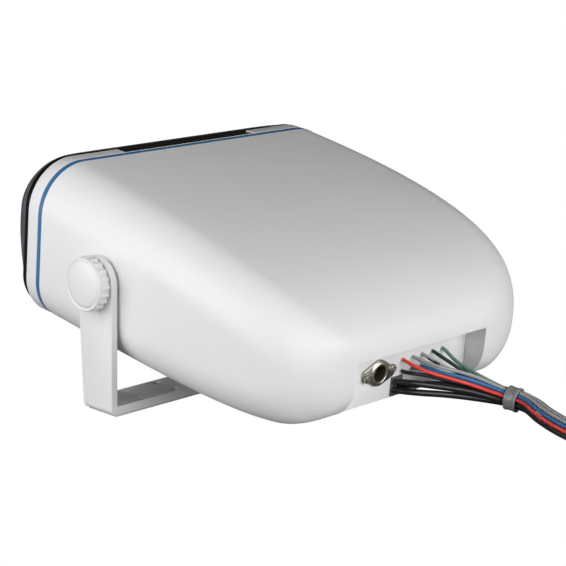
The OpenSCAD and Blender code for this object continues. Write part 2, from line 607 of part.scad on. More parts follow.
flange_t2 = 1.6;
collar_l = 3.6;
socket_in = 6;          // how far the socket reaches in behind the panel's face
plug_in = 3.8;          // how far a plug reaches in behind the panel's face
lining_low = 1.4;       // how far the lining stops short of the rim
core_d = socket_bore + 1.6;
barrel_d = core_d + 2;
contact_d = 3;
socket_screw_d = 2.5;
module socket_flange() {
    polygon([[-socket_reach - 1.2, -flange_r + 0.2], [0, -socket_d / 2 - 0.6], [socket_reach + 1.2, -flange_r + 0.2],
        [socket_reach + 1.2, flange_r - 0.2], [0, socket_d / 2 + 0.6], [-socket_reach - 1.2, flange_r - 0.2]]);
    for (s = [-1, 1]) translate([s * socket_reach, 0]) circle(r = flange_r);
    circle(d = socket_d + 0.8);
}
module socket_body() color("silver") in_head() translate([socket_at[0], panel_y, socket_at[1]]) difference() {
    union() {
        rotate([-90, 0, 0]) linear_extrude(flange_t2) rotate(socket_turn) socket_flange();
        lay_y() rotate_extrude() polygon([[0, -socket_in], [barrel_d / 2, -socket_in],
            [barrel_d / 2, 0], [socket_d / 2, 0], [socket_d / 2, collar_l - 1], [socket_d / 2 - 0.3, collar_l - 0.3],
            [socket_d / 2 - 1, collar_l], [0, collar_l]]);
    }
    lay_y() rotate_extrude() polygon([[0, -socket_in - 1], [core_d / 2, -socket_in - 1], [core_d / 2, collar_l - 0.9],
        [core_d / 2 + 0.7, collar_l + 0.15], [0, collar_l + 0.15]]);
    for (p = socket_screw_spots) translate([p[0], 0, p[1]]) rod_y(socket_screw_d, 6, -2);
}
module socket_insulator() color("darkolivegreen") in_head() translate([socket_at[0], panel_y, socket_at[1]])
    lay_y() rotate_extrude() polygon([[contact_d / 2, -socket_in], [core_d / 2, -socket_in],
        [core_d / 2, collar_l - lining_low], [socket_bore / 2, collar_l - lining_low],
        [socket_bore / 2, -plug_in], [contact_d / 2, -plug_in]]);
module socket_contact() color("gold") in_head() translate([socket_at[0], 0, socket_at[1]])
    disc_y(contact_d, contact_d - 1.2, socket_in - plug_in + 3, panel_y - socket_in - 3);
module socket_screws() color("silver") in_head() for (p = socket_screw_spots)
    translate([socket_at[0] + p[0], panel_y + flange_t2, socket_at[1] + p[1]])
        lay_y() pan_screw(socket_screw_d, flange_t2 + panel_t + 1);

// Each lead runs from the panel through the ring by its own points, then follows the run of the bundle at its
// own place in it. A point of the run is x, y, z, the heading of the bundle and how far it spreads.
run = [[-42.8, 166, 6.7, -12, 1.05], [-34.6, 181.4, 6.2, -26, 1.15], [-26, 200.8, 6.2, -20, 1.25],
    [-20, 222, 6.2, -10, 1.25], [-18, 246, 6.2, 2, 1.25], [-21, 284, 6.2, 5, 1.3], [-23, 320, 6.2, 0, 1.3]];
fans = [
    [[1.1, 114.2, 30.4], [0, 119, 28.5], [-5, 125, 25], [-13.41, 130.05, 21.36],
        [-24.94, 136.57, 16.53], [-38.5, 151.1, 9.81], [-40.33, 158.43, 8.7]],
    [[-7, 114.2, 30.4], [-8, 119, 29], [-12.5, 125, 26.5], [-20.5, 131, 23.5],
        [-30, 138, 19.5], [-41.27, 149.68, 12.62], [-43.34, 157.82, 11.68]],
    [[-14.5, 114.2, 30.4], [-15, 118, 29], [-18.5, 123, 25.5], [-24.5, 129, 21.5],
        [-32.48, 136.02, 17], [-43.16, 148.74, 12.6], [-45.54, 157.37, 11.65]],
    [[-22.8, 114.2, 30.4], [-23, 118, 29], [-25.5, 122.5, 26], [-29.97, 127.98, 21.45],
        [-36.44, 134.95, 15.89], [-45.91, 147.26, 9.75], [-48.47, 156.73, 8.78]],
    [[-30.8, 114.2, 30.4], [-31, 117, 29], [-31.5, 121, 26], [-33.02, 126.51, 22.53],
        [-36.1, 135.03, 18.62], [-44.86, 147.87, 11.6], [-47.35, 157, 10.52]],
    [[1.1, 113.5, 24.1], [0, 117, 23.5], [-6.5, 122, 22], [-16.51, 128.49, 18.49],
        [-28.54, 136.95, 14.46], [-41.22, 149.7, 9.7], [-43.3, 157.83, 8.7]],
    [[-7, 113.5, 24.1], [-8, 119.5, 24.5], [-12.56, 126.97, 23.58], [-20.05, 133.47, 21.07],
        [-29.5, 140.5, 17], [-39.58, 150.54, 11.59], [-41.44, 158.22, 10.57]],
    [[-14.5, 113.5, 24.1], [-15, 118.5, 23.5], [-18, 124.5, 21.5], [-24, 130, 18.5],
        [-31.5, 136.5, 14.5], [-43.18, 148.7, 9.7], [-45.5, 157.37, 8.7]],
    [[6.2, 113, 19.3], [5, 118, 19.5], [-1.5, 124, 18.5], [-12, 130, 16],
        [-25, 137.5, 12.5], [-39.23, 150.74, 6.85], [-41.21, 158.27, 5.86]],
    [[6.2, 112.5, 14.6], [4.5, 117.5, 14.5], [-2, 123.5, 13.5], [-13.5, 129.5, 11.5],
        [-27.01, 136.48, 8.49], [-42.27, 149.11, 4.73], [-44.38, 157.59, 3.78]],
    [[1.8, 112.7, 16.4], [0.5, 117, 17], [-4.5, 121, 17], [-14, 125, 16],
        [-27, 131.5, 13], [-45.1, 147.72, 6.85], [-47.6, 156.93, 5.87]]];
places = [[4.1, 1.5], [1.05, 4.3], [-1.1, 4.3], [-4.15, 1.5], [-2.95, 3.25], [1.1, 1.4], [2.95, 3.25], [-1.1, 1.4],
    [3.25, -1.45], [0, -3.5], [-3.25, -1.45]];

function spot(c, o) = [c[0] + o[0] * c[4] * cos(c[3]), c[1] + o[0] * c[4] * sin(c[3]), c[2] + o[1]];
function route(k) = concat(fans[k], [for (c = run) spot(c, places[k])]);
function unit(v) = v / norm(v);
function rim_ring(p, dir, d, sides) =
    let(side = unit(cross(dir, [0, 0, 1])), up = cross(side, dir))
    [for (k = [0:sides - 1]) let(a = 360 * k / sides) p + d / 2 * (cos(a) * side + sin(a) * up)];
way_out = [0, cos(rest_tilt), -sin(rest_tilt)];
function heading(path, k) =
    k == 0 ? way_out : k == len(path) - 1 ? unit(path[k] - path[k - 1])
        : unit(unit(path[k + 1] - path[k]) + unit(path[k] - path[k - 1]));
module tube(path, d, sides)
    skin(reversed([for (k = [0:len(path) - 1]) rim_ring(path[k], heading(path, k), d, sides)]));
module lead(k, hue) color(hue) tube(route(k), lead_d, 8);
module cable(k) color([0.08, 0.08, 0.08]) tube(route(k), cable_d, 8);

ring_at = [-43.58, 153.4, 7.68];
ring_turn = 14;
groove_d = mix(ring_bore, ring_d, 0.6);
ring_lip = ring_w / 4;
module lead_ring() color("dimgray") translate(ring_at) rotate([0, 0, ring_turn]) rotate([-97, 0, 0]) rotate_extrude()
    polygon([[ring_bore / 2, -ring_w / 2 + 0.3], [ring_bore / 2 + 0.3, -ring_w / 2], [ring_d / 2 - 0.3, -ring_w / 2],
        [ring_d / 2, -ring_w / 2 + 0.4], [ring_d / 2, -ring_w / 2 + ring_lip - 0.2], [groove_d / 2, -ring_w / 2 + ring_lip],
        [groove_d / 2, ring_w / 2 - ring_lip], [ring_d / 2, ring_w / 2 - ring_lip + 0.2], [ring_d / 2, ring_w / 2 - 0.4],
        [ring_d / 2 - 0.3, ring_w / 2], [ring_bore / 2 + 0.3, ring_w / 2], [ring_bore / 2, ring_w / 2 - 0.3]]);

mounting_bracket();
base_pad();
knob_left();
knob_right();
knob_stud_left();
knob_stud_right();
washer_left();
washer_right();
rear_housing();
trim_band();
front_frame();
seal_ring();
front_rim();
front_grille();
clip_strip();
friction_discs();
pivot_inserts();
horn_flare();
horn_screws();
phase_plug();
diaphragm();
voice_coil();
top_plate();
magnet();
yoke();
driver_cover();
driver_screws();
amplifier_board();
board_screws();
transformer_core();
transformer_coil();
heat_sink();
power_transistors();
capacitors();
tone_chip();
terminal_block();
rear_panel();
panel_screws();
socket_body();
socket_insulator();
socket_contact();
socket_screws();
lead_seals();
cable_gland();
lead(0, "red");  // lead_red
lead(1, "silver");  // lead_grey
lead(2, "gray");  // lead_grey_black
lead(3, "darkgreen");  // lead_dark_green
lead(4, "mediumseagreen");  // lead_green
lead(5, "black");  // lead_black
lead(6, "steelblue");  // lead_blue
lead(7, "skyblue");  // lead_light_blue
cable(8);  // supply_cable_1
cable(9);  // supply_cable_2
cable(10);  // supply_cable_3
lead_ring();
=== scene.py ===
"""Builds the finished look of an alarm siren on its trunnion bracket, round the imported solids."""

import json
import math

import bmesh
import bpy
from bpy.props import FloatProperty, FloatVectorProperty, IntProperty, PointerProperty
from mathutils import Matrix, Vector


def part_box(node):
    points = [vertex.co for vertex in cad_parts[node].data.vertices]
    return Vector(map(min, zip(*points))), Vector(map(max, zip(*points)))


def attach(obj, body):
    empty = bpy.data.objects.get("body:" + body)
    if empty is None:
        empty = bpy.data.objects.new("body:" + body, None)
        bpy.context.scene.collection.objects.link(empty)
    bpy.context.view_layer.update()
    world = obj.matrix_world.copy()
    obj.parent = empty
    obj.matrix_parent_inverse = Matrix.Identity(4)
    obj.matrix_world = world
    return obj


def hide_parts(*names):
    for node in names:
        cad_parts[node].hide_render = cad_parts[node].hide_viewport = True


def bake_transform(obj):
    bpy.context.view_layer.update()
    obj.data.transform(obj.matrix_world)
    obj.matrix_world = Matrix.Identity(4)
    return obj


bl_info = {
    "name": "Alarm siren",
    "version": (1, 0, 0),
    "blender": (4, 5, 0),
    "location": "View3D > Sidebar > Siren",
    "description": "Housing, trim, grille, bracket, knobs, socket and leads of a bracket-mounted alarm siren",
    "category": "Object",
}

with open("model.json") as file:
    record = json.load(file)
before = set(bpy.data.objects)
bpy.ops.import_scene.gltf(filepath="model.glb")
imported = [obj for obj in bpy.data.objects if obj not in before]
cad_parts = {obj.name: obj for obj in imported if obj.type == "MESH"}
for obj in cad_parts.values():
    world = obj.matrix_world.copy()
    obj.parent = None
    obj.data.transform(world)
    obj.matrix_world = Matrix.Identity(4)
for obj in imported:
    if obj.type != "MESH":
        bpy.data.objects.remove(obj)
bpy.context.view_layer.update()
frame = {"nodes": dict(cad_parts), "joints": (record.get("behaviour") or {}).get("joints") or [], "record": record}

MM = 0.001
TILT = next(j for j in frame["joints"] if j["name"] == "head_tilt")
PIVOT = Vector(TILT["pos_m"])
REST_TILT = math.radians(6.3)
HEAD = Matrix.Translation(PIVOT) @ Matrix.Rotation(-REST_TILT, 4, "X")


# ---------------------------------------------------------------- sizes and colours


def length(name, default, description):
    return FloatProperty(name=name, description=description, default=default, unit="LENGTH")


def colour(name, default, description):
    return FloatVectorProperty(name=name, description=description, default=default, size=3, subtype="COLOR",
                               min=0, max=1)


class SirenHousing(bpy.types.PropertyGroup):
    width: length("Width", 0.220, "Width of the moulded housing")
    wall: length("Wall", 0.0026, "Thickness of the moulded wall")
    top: length("Top", 0.0489, "Height of the housing above the pivot at its front")
    belly: length("Belly", 0.0405, "Depth of the housing below the pivot at its front")
    rear: length("Rear", 0.1308, "Distance from the pivot to the rear of the housing")
    lip: length("Recess lip", 0.0167, "Depth of the recess's upper edge below the pivot")
    recess: length("Recess width", 0.1014, "Width of the recess for the leads")
    band: length("Band", 0.0034, "Width of the coloured trim band")
    front_frame: length("Front frame", 0.0088, "Width of the white front frame")
    rim: length("Rim", 0.0037, "Width of the black rim")
    corner_steps: IntProperty(name="Corner steps", description="Faces in each rounded corner", default=14, min=4)
    stations: IntProperty(name="Stations", description="Cross-sections along the housing", default=64, min=12)


class SirenKnob(bpy.types.PropertyGroup):
    radius: length("Radius", 0.0139, "Radius of a knob's skirt")
    rib: length("Rib height", 0.0009, "How far the grip ribs stand out")
    ribs: IntProperty(name="Ribs", description="Number of grip ribs", default=20, min=6)


class SirenLeads(bpy.types.PropertyGroup):
    lead: length("Lead", 0.0020, "Diameter of a signal lead")
    cable: length("Cable", 0.0036, "Diameter of a supply cable")
    sides: IntProperty(name="Sides", description="Faces round a lead", default=12, min=6)


class SirenColours(bpy.types.PropertyGroup):
    white: colour("White", (0.80, 0.80, 0.81), "Moulded housing and painted bracket")
    band: colour("Band", (0.037, 0.149, 0.313), "Trim band")
    black: colour("Black", (0.005, 0.005, 0.006), "Rim, clip strip and grille")
    rubber: colour("Rubber", (0.085, 0.085, 0.088), "Ring, gland and pads")
    nickel: colour("Nickel", (0.46, 0.45, 0.39), "Coaxial socket")


# ---------------------------------------------------------------- materials


def node(tree, kind, **sockets):
    made = tree.nodes.new(kind)
    for name, value in sockets.items():
        made.inputs[name.replace("_", " ")].default_value = value
    return made


def surface(name, base, roughness, mottle=0.04, mottle_size=0.02, grain=0.15, grain_size=0.0006,
            metallic=0.0, coat=0.0, coat_roughness=0.1, stretch=(1, 1, 1), specular=0.5, rough_swing=0.06,
            grain_depth=0.00004):
    """A finish with a slow drift of colour, an uneven gloss and a fine relief, on object coordinates."""
    if name in bpy.data.materials:
        return bpy.data.materials[name]
    made = bpy.data.materials.new(name)
    made.use_nodes = True
    tree = made.node_tree
    shader = tree.nodes["Principled BSDF"]
    shader.inputs["Metallic"].default_value = metallic
    shader.inputs["Coat Weight"].default_value = coat
    shader.inputs["Coat Roughness"].default_value = coat_roughness
    shader.inputs["Specular IOR Level"].default_value = specular
    place = tree.nodes.new("ShaderNodeTexCoord")
    mapping = tree.nodes.new("ShaderNodeMapping")
    mapping.inputs["Scale"].default_value = stretch
    tree.links.new(place.outputs["Object"], mapping.inputs["Vector"])

    slow = node(tree, "ShaderNodeTexNoise", Scale=1 / mottle_size, Detail=3.0, Roughness=0.55)
    tree.links.new(mapping.outputs["Vector"], slow.inputs["Vector"])
    ramp = tree.nodes.new("ShaderNodeValToRGB")
    ramp.color_ramp.elements[0].position = NOISE_LOW
    ramp.color_ramp.elements[1].position = NOISE_HIGH
    ramp.color_ramp.elements[0].color = (*[c * (1 - mottle) for c in base], 1)
    ramp.color_ramp.elements[1].color = (*[min(1, c * (1 + mottle)) for c in base], 1)
    tree.links.new(slow.outputs["Fac"], ramp.inputs["Fac"])
    tree.links.new(ramp.outputs["Color"], shader.inputs["Base Color"])

    gloss = tree.nodes.new("ShaderNodeMapRange")
    gloss.inputs["From Min"].default_value = NOISE_LOW
    gloss.inputs["From Max"].default_value = NOISE_HIGH
    gloss.inputs["To Min"].default_value = max(0.02, roughness - rough_swing)
    gloss.inputs["To Max"].default_value = min(1, roughness + rough_swing)
    tree.links.new(slow.outputs["Fac"], gloss.inputs["Value"])
    tree.links.new(gloss.outputs["Result"], shader.inputs["Roughness"])

    fine = node(tree, "ShaderNodeTexNoise", Scale=1 / grain_size, Detail=2.0, Roughness=0.5)
    tree.links.new(mapping.outputs["Vector"], fine.inputs["Vector"])
    relief = node(tree, "ShaderNodeBump", Strength=grain, Distance=grain_depth)
    tree.links.new(fine.outputs["Fac"], relief.inputs["Height"])
    tree.links.new(relief.outputs["Normal"], shader.inputs["Normal"])
    return made


# name, colour, roughness, mottle and grain
INSULATION = {
    "pvc_red": ("red insulation", (0.80, 0.062, 0.045), 0.40, 0.05, 0.15),
    "pvc_grey": ("grey insulation", (0.36, 0.36, 0.36), 0.42, 0.08, 0.15),
    "pvc_grey_black": ("pale grey insulation", (0.40, 0.40, 0.40), 0.42, 0.08, 0.15),
    "pvc_dark_green": ("dark green insulation", (0.006, 0.040, 0.030), 0.38, 0.15, 0.15),
    "pvc_green": ("green insulation", (0.135, 0.28, 0.21), 0.42, 0.08, 0.15),
    "pvc_black": ("black insulation", (0.010, 0.010, 0.011), 0.34, 0.2, 0.2),
    "pvc_blue": ("blue insulation", (0.030, 0.16, 0.38), 0.40, 0.08, 0.15),
    "pvc_light_blue": ("light blue insulation", (0.12, 0.30, 0.50), 0.40, 0.08, 0.15),
}
NOISE_LOW, NOISE_HIGH = 0.3, 0.7        # the noise between these values takes up the whole swing of a finish


def finishes():
    """All finishes by slot, made on the first call from the scene's colours."""
    tints = bpy.context.scene.siren_colours
    white, black, rubber, nickel = tints.white, tints.black, tints.rubber, tints.nickel
    return {
        "white_shell": surface("moulded white", white, 0.44, mottle=0.008, mottle_size=0.05, grain=0.10,
                               grain_size=0.0009, coat=0.04, coat_roughness=0.3, specular=0.4),
        "white_metal": surface("powder white", white, 0.42, mottle=0.012, mottle_size=0.03, grain=0.35,
                               grain_size=0.0012),
        "knob": surface("knob white", [c * 0.985 for c in white], 0.40, mottle=0.010, grain=0.12),
        "pad": surface("grey pad", (0.50, 0.50, 0.50), 0.75, mottle=0.06, mottle_size=0.01, grain=0.5),
        "band": surface("band blue", tints.band, 0.38, mottle=0.03, grain=0.08),
        "black_gloss": surface("gloss black", black, 0.26, mottle=0.08, grain=0.05, specular=0.22),
        "grille": surface("grille black", [c * 11 for c in black], 0.42, mottle=0.92, mottle_size=0.005, grain=0.6,
                          grain_size=0.0006, grain_depth=0.0002, stretch=(1, 1, 0.12)),
        "dark_rubber": surface("dark rubber", rubber, 0.46, mottle=0.10, mottle_size=0.006, grain=0.45,
                               grain_size=0.0004),
        "ring_rubber": surface("ring rubber", [c * 2.8 for c in rubber], 0.32, mottle=0.12, mottle_size=0.006,
                               grain=0.3, grain_size=0.0005, coat=0.3),
        "light_nylon": surface("nylon washer", (0.62, 0.62, 0.62), 0.5, mottle=0.03, grain=0.2),
        "zinc": surface("zinc plate", (0.58, 0.59, 0.60), 0.34, metallic=1.0, mottle=0.06, mottle_size=0.004,
                        grain=0.2, grain_size=0.0003),
        "nickel": surface("nickel plate", nickel, 0.33, metallic=1.0, mottle=0.07, mottle_size=0.004, grain=0.12,
                          grain_size=0.0004),
        "olive": surface("insulator", (0.035, 0.034, 0.015), 0.45, mottle=0.25, mottle_size=0.002, grain=0.3),
        "brass": surface("brass", (0.60, 0.44, 0.18), 0.30, metallic=1.0, mottle=0.08, mottle_size=0.005),
        "horn": surface("horn black", (0.030, 0.030, 0.032), 0.55, mottle=0.12, grain=0.4, grain_size=0.0008),
        "resin_film": surface("resin film", (0.30, 0.17, 0.07), 0.5, mottle=0.15, mottle_size=0.004),
        "copper": surface("enamelled wire", (0.52, 0.20, 0.08), 0.32, metallic=0.8, mottle=0.15, mottle_size=0.002,
                          grain=0.6, grain_size=0.0004, stretch=(0.2, 0.2, 1)),
        "steel": surface("plain steel", (0.42, 0.42, 0.44), 0.38, metallic=1.0, mottle=0.08, grain=0.3,
                         stretch=(1, 0.15, 1)),
        "ferrite": surface("ferrite", (0.06, 0.06, 0.065), 0.7, mottle=0.2, mottle_size=0.005, grain=0.6),
        "board": surface("board green", (0.02, 0.12, 0.05), 0.3, mottle=0.25, mottle_size=0.004, grain=0.3,
                         grain_size=0.001),
        "aluminium_sink": surface("extruded aluminium", (0.55, 0.56, 0.58), 0.4, metallic=1.0, mottle=0.05,
                                  grain=0.35, stretch=(1, 1, 0.1)),
        "black_matte": surface("case black", (0.02, 0.02, 0.02), 0.55, mottle=0.1, grain=0.4),
        "sleeve_blue": surface("sleeve blue", (0.03, 0.06, 0.20), 0.35, mottle=0.06, grain=0.1),
        "terminal": surface("terminal green", (0.03, 0.25, 0.10), 0.45, mottle=0.05, grain=0.2),
        "seal_white": surface("seal white", (0.62, 0.62, 0.63), 0.55, mottle=0.05, mottle_size=0.003, grain=0.3),
        **{key: surface(name, tint, roughness, mottle=mottle, mottle_size=0.004, grain=grain)
           for key, (name, tint, roughness, mottle, grain) in INSULATION.items()},
    }


# ---------------------------------------------------------------- shaping


def to_mesh(name, bm):
    """Turns a bmesh into a mesh and frees it."""
    mesh = bpy.data.meshes.new(name)
    bm.to_mesh(mesh)
    bm.free()
    return mesh


def loose(name, bm):
    """An object in the scene with nothing set on it yet."""
    made = bpy.data.objects.new(name, to_mesh(name, bm))
    bpy.context.scene.collection.objects.link(made)
    return made


def add(bm, other):
    """Puts a second bmesh beside the first one's faces, without a boolean."""
    mesh = to_mesh("part", other)
    bm.from_mesh(mesh)
    bpy.data.meshes.remove(mesh)


def piece(name, bm, body, slot, replaces=(), place=None, smooth=35, extra=()):
    """Turns a bmesh into a finished piece that rides on a body and takes its finish from a slot."""
    if place is not None:
        bmesh.ops.transform(bm, matrix=place, verts=bm.verts)
    made = loose(name, bm)
    for key in (slot, *extra):
        made.data.materials.append(finishes()[key])
    made.data.shade_smooth()
    made.data.set_sharp_from_angle(angle=math.radians(smooth))
    if body:
        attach(made, body)
    if replaces:
        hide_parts(*replaces)
    return made


def loft(rings, closed=False):
    """A skin through rings of points, made from a grid whose two long edges are welded."""
    across, along = len(rings[0]), len(rings)
    bm = bmesh.new()
    rows = along + (1 if closed else 0)
    bmesh.ops.create_grid(bm, x_segments=across, y_segments=rows - 1, size=1)
    for v in bm.verts:
        i = round((v.co.x + 1) / 2 * across) % across
        j = round((v.co.y + 1) / 2 * (rows - 1)) % along
        v.co = rings[j][i]
    bmesh.ops.remove_doubles(bm, verts=bm.verts, dist=1e-7)
    if not closed:
        bmesh.ops.holes_fill(bm, edges=[e for e in bm.edges if e.is_boundary], sides=0)
    bmesh.ops.recalc_face_normals(bm, faces=bm.faces)
    return bm


def box_bm(low, high):
    bm = bmesh.new()
    bmesh.ops.create_cube(bm, size=1)
    low, high = Vector(low), Vector(high)
    bmesh.ops.scale(bm, vec=high - low, verts=bm.verts)
    bmesh.ops.translate(bm, vec=(low + high) / 2, verts=bm.verts)
    return bm


def soften(bm, width, segments=2, angle=30):
    """Rounds every edge sharper than the angle."""
    edges = [e for e in bm.edges if len(e.link_faces) == 2 and e.calc_face_angle(0) > math.radians(angle)]
    bmesh.ops.bevel(bm, geom=edges, affect="EDGES", offset=width, offset_type="OFFSET", segments=segments,
                    profile=0.5, material=-1, clamp_overlap=True)
    return bm


def carve(first, second, how):
    """Joins, cuts or intersects one bmesh with another and gives back the result."""
    a, b = loose("carve_a", first), loose("carve_b", second)
    step = a.modifiers.new("carve", "BOOLEAN")
    step.object, step.operation, step.solver = b, how, "EXACT"
    bm = bmesh.new()
    bm.from_object(a, bpy.context.evaluated_depsgraph_get())
    for used in (a, b):
        mesh = used.data
        bpy.data.objects.remove(used)
        bpy.data.meshes.remove(mesh)
    return bm


def spun(points, axis, steps, closed=True):
    """A full turn of a profile about an axis through the origin, with its seam welded."""
    bm = bmesh.new()
    verts = [bm.verts.new(p) for p in points]
    edges = [bm.edges.new(pair) for pair in zip(verts, verts[1:] + (verts[:1] if closed else []))]
    bmesh.ops.spin(bm, geom=verts + edges, cent=(0, 0, 0), axis=axis, dvec=(0, 0, 0), angle=math.tau, steps=steps,
                   use_merge=True)
    return bm


def solid_of(name):
    """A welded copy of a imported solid, with its flat faces whole again."""
    bm = bmesh.new()
    bm.from_mesh(frame["nodes"][name].data)
    bmesh.ops.remove_doubles(bm, verts=bm.verts, dist=2e-6)
    bmesh.ops.dissolve_limit(bm, angle_limit=math.radians(0.6), verts=bm.verts, edges=bm.edges)
    return bm


def refined(name, body, width, slot, segments=2, smooth=35, angle=30):
    """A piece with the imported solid's shape and softly rounded edges."""
    bm = soften(solid_of(name), width * MM, segments, angle)
    return piece(name + "_finished", bm, body, slot, [name], smooth=smooth)


# ---------------------------------------------------------------- the housing's form


def mix(a, b, f):
    return a + (b - a) * f


def bezier(points, steps=120):
    out = []
    for k in range(steps + 1):
        t = k / steps
        w = ((1 - t) ** 3, 3 * (1 - t) ** 2 * t, 3 * (1 - t) * t * t, t ** 3)
        out.append((sum(a * p[0] for a, p in zip(w, points)), sum(a * p[1] for a, p in zip(w, points))))
    return out


def lookup(y, curve):
    if y <= curve[0][0]:
        return curve[0][1]
    for (y0, v0), (y1, v1) in zip(curve, curve[1:]):
        if y <= y1:
            return v0 if y1 == y0 else mix(v0, v1, (y - y0) / (y1 - y0))
    return curve[-1][1]


# The front outline and the lofted housing behind it, in metres in the head's own frame
EDGE_Y = -0.0536                        # where the moulded housing meets the trim band
TOP_R, LOW_R = 0.028, 0.024             # corner radii in front; at the rear all corners have the lower one
BELLY_SAG = 0.0115                      # how much lower the belly runs at the rear
NOSE_Z, TAIL_HALF = 0.015, 0.044        # where the roof turns down, and half the tail's width
ROOF_BEND, ROOF_FALL = 0.61, 0.0116     # control point of the roof: share of the depth, and drop
SIDE_BEND = 0.765                       # control point of the sides: share of the depth
SEAT_Y, SEAT_WALL, LEDGE = 0.1151, 0.0025, 0.003    # what the rear panel lies on: face, wall, ledge
CLIP_HALF, CLIP_DEPTH, CLIP_LIP = 0.050, 0.0022, 0.0006     # the notch for the clip strip

# The grille, in metres
GRILLE_IN = 0.0016                      # its edge inside the front outline
DOME_EDGE, DOME_HEIGHT = 0.0012, 0.017  # how far it stands out at its edge and at its crown
CROWN_UP = 0.0068                       # the crown's height over the middle
RUN_DOWN, RUN_UP = 0.64, 1.16           # how far the curve runs down and up, as shares of the way to the edge
SLAT_PITCH, SLAT, GRILLE_WALL = 0.005, 0.002, 0.002
SLOTS_LOW, SLOTS_HIGH = -0.027, 0.038   # the slots lie between these heights
SLOT_MARGIN, SLOT_ROUND = 0.009, 0.0014     # a slot's end inside the outline, and its rounding
RIB_SPACING = 0.36                      # share of the half width between two upright ribs
RIB_HALF, RIB_DEPTH = 0.001, 0.005      # half the ribs' thickness, and their reach behind the dome

# The socket: its place on the panel in metres, its flange in millimetres
SOCKET_AT = Vector((0.020, 0.1176, -0.032))
SOCKET_LEAN = math.radians(6)           # the lobes are turned by this much
DISC_R, LOBE_R, LOBE_AT = 7.3, 2.9, 9.4     # radii of disc and lobes, and the lobes' way from the middle


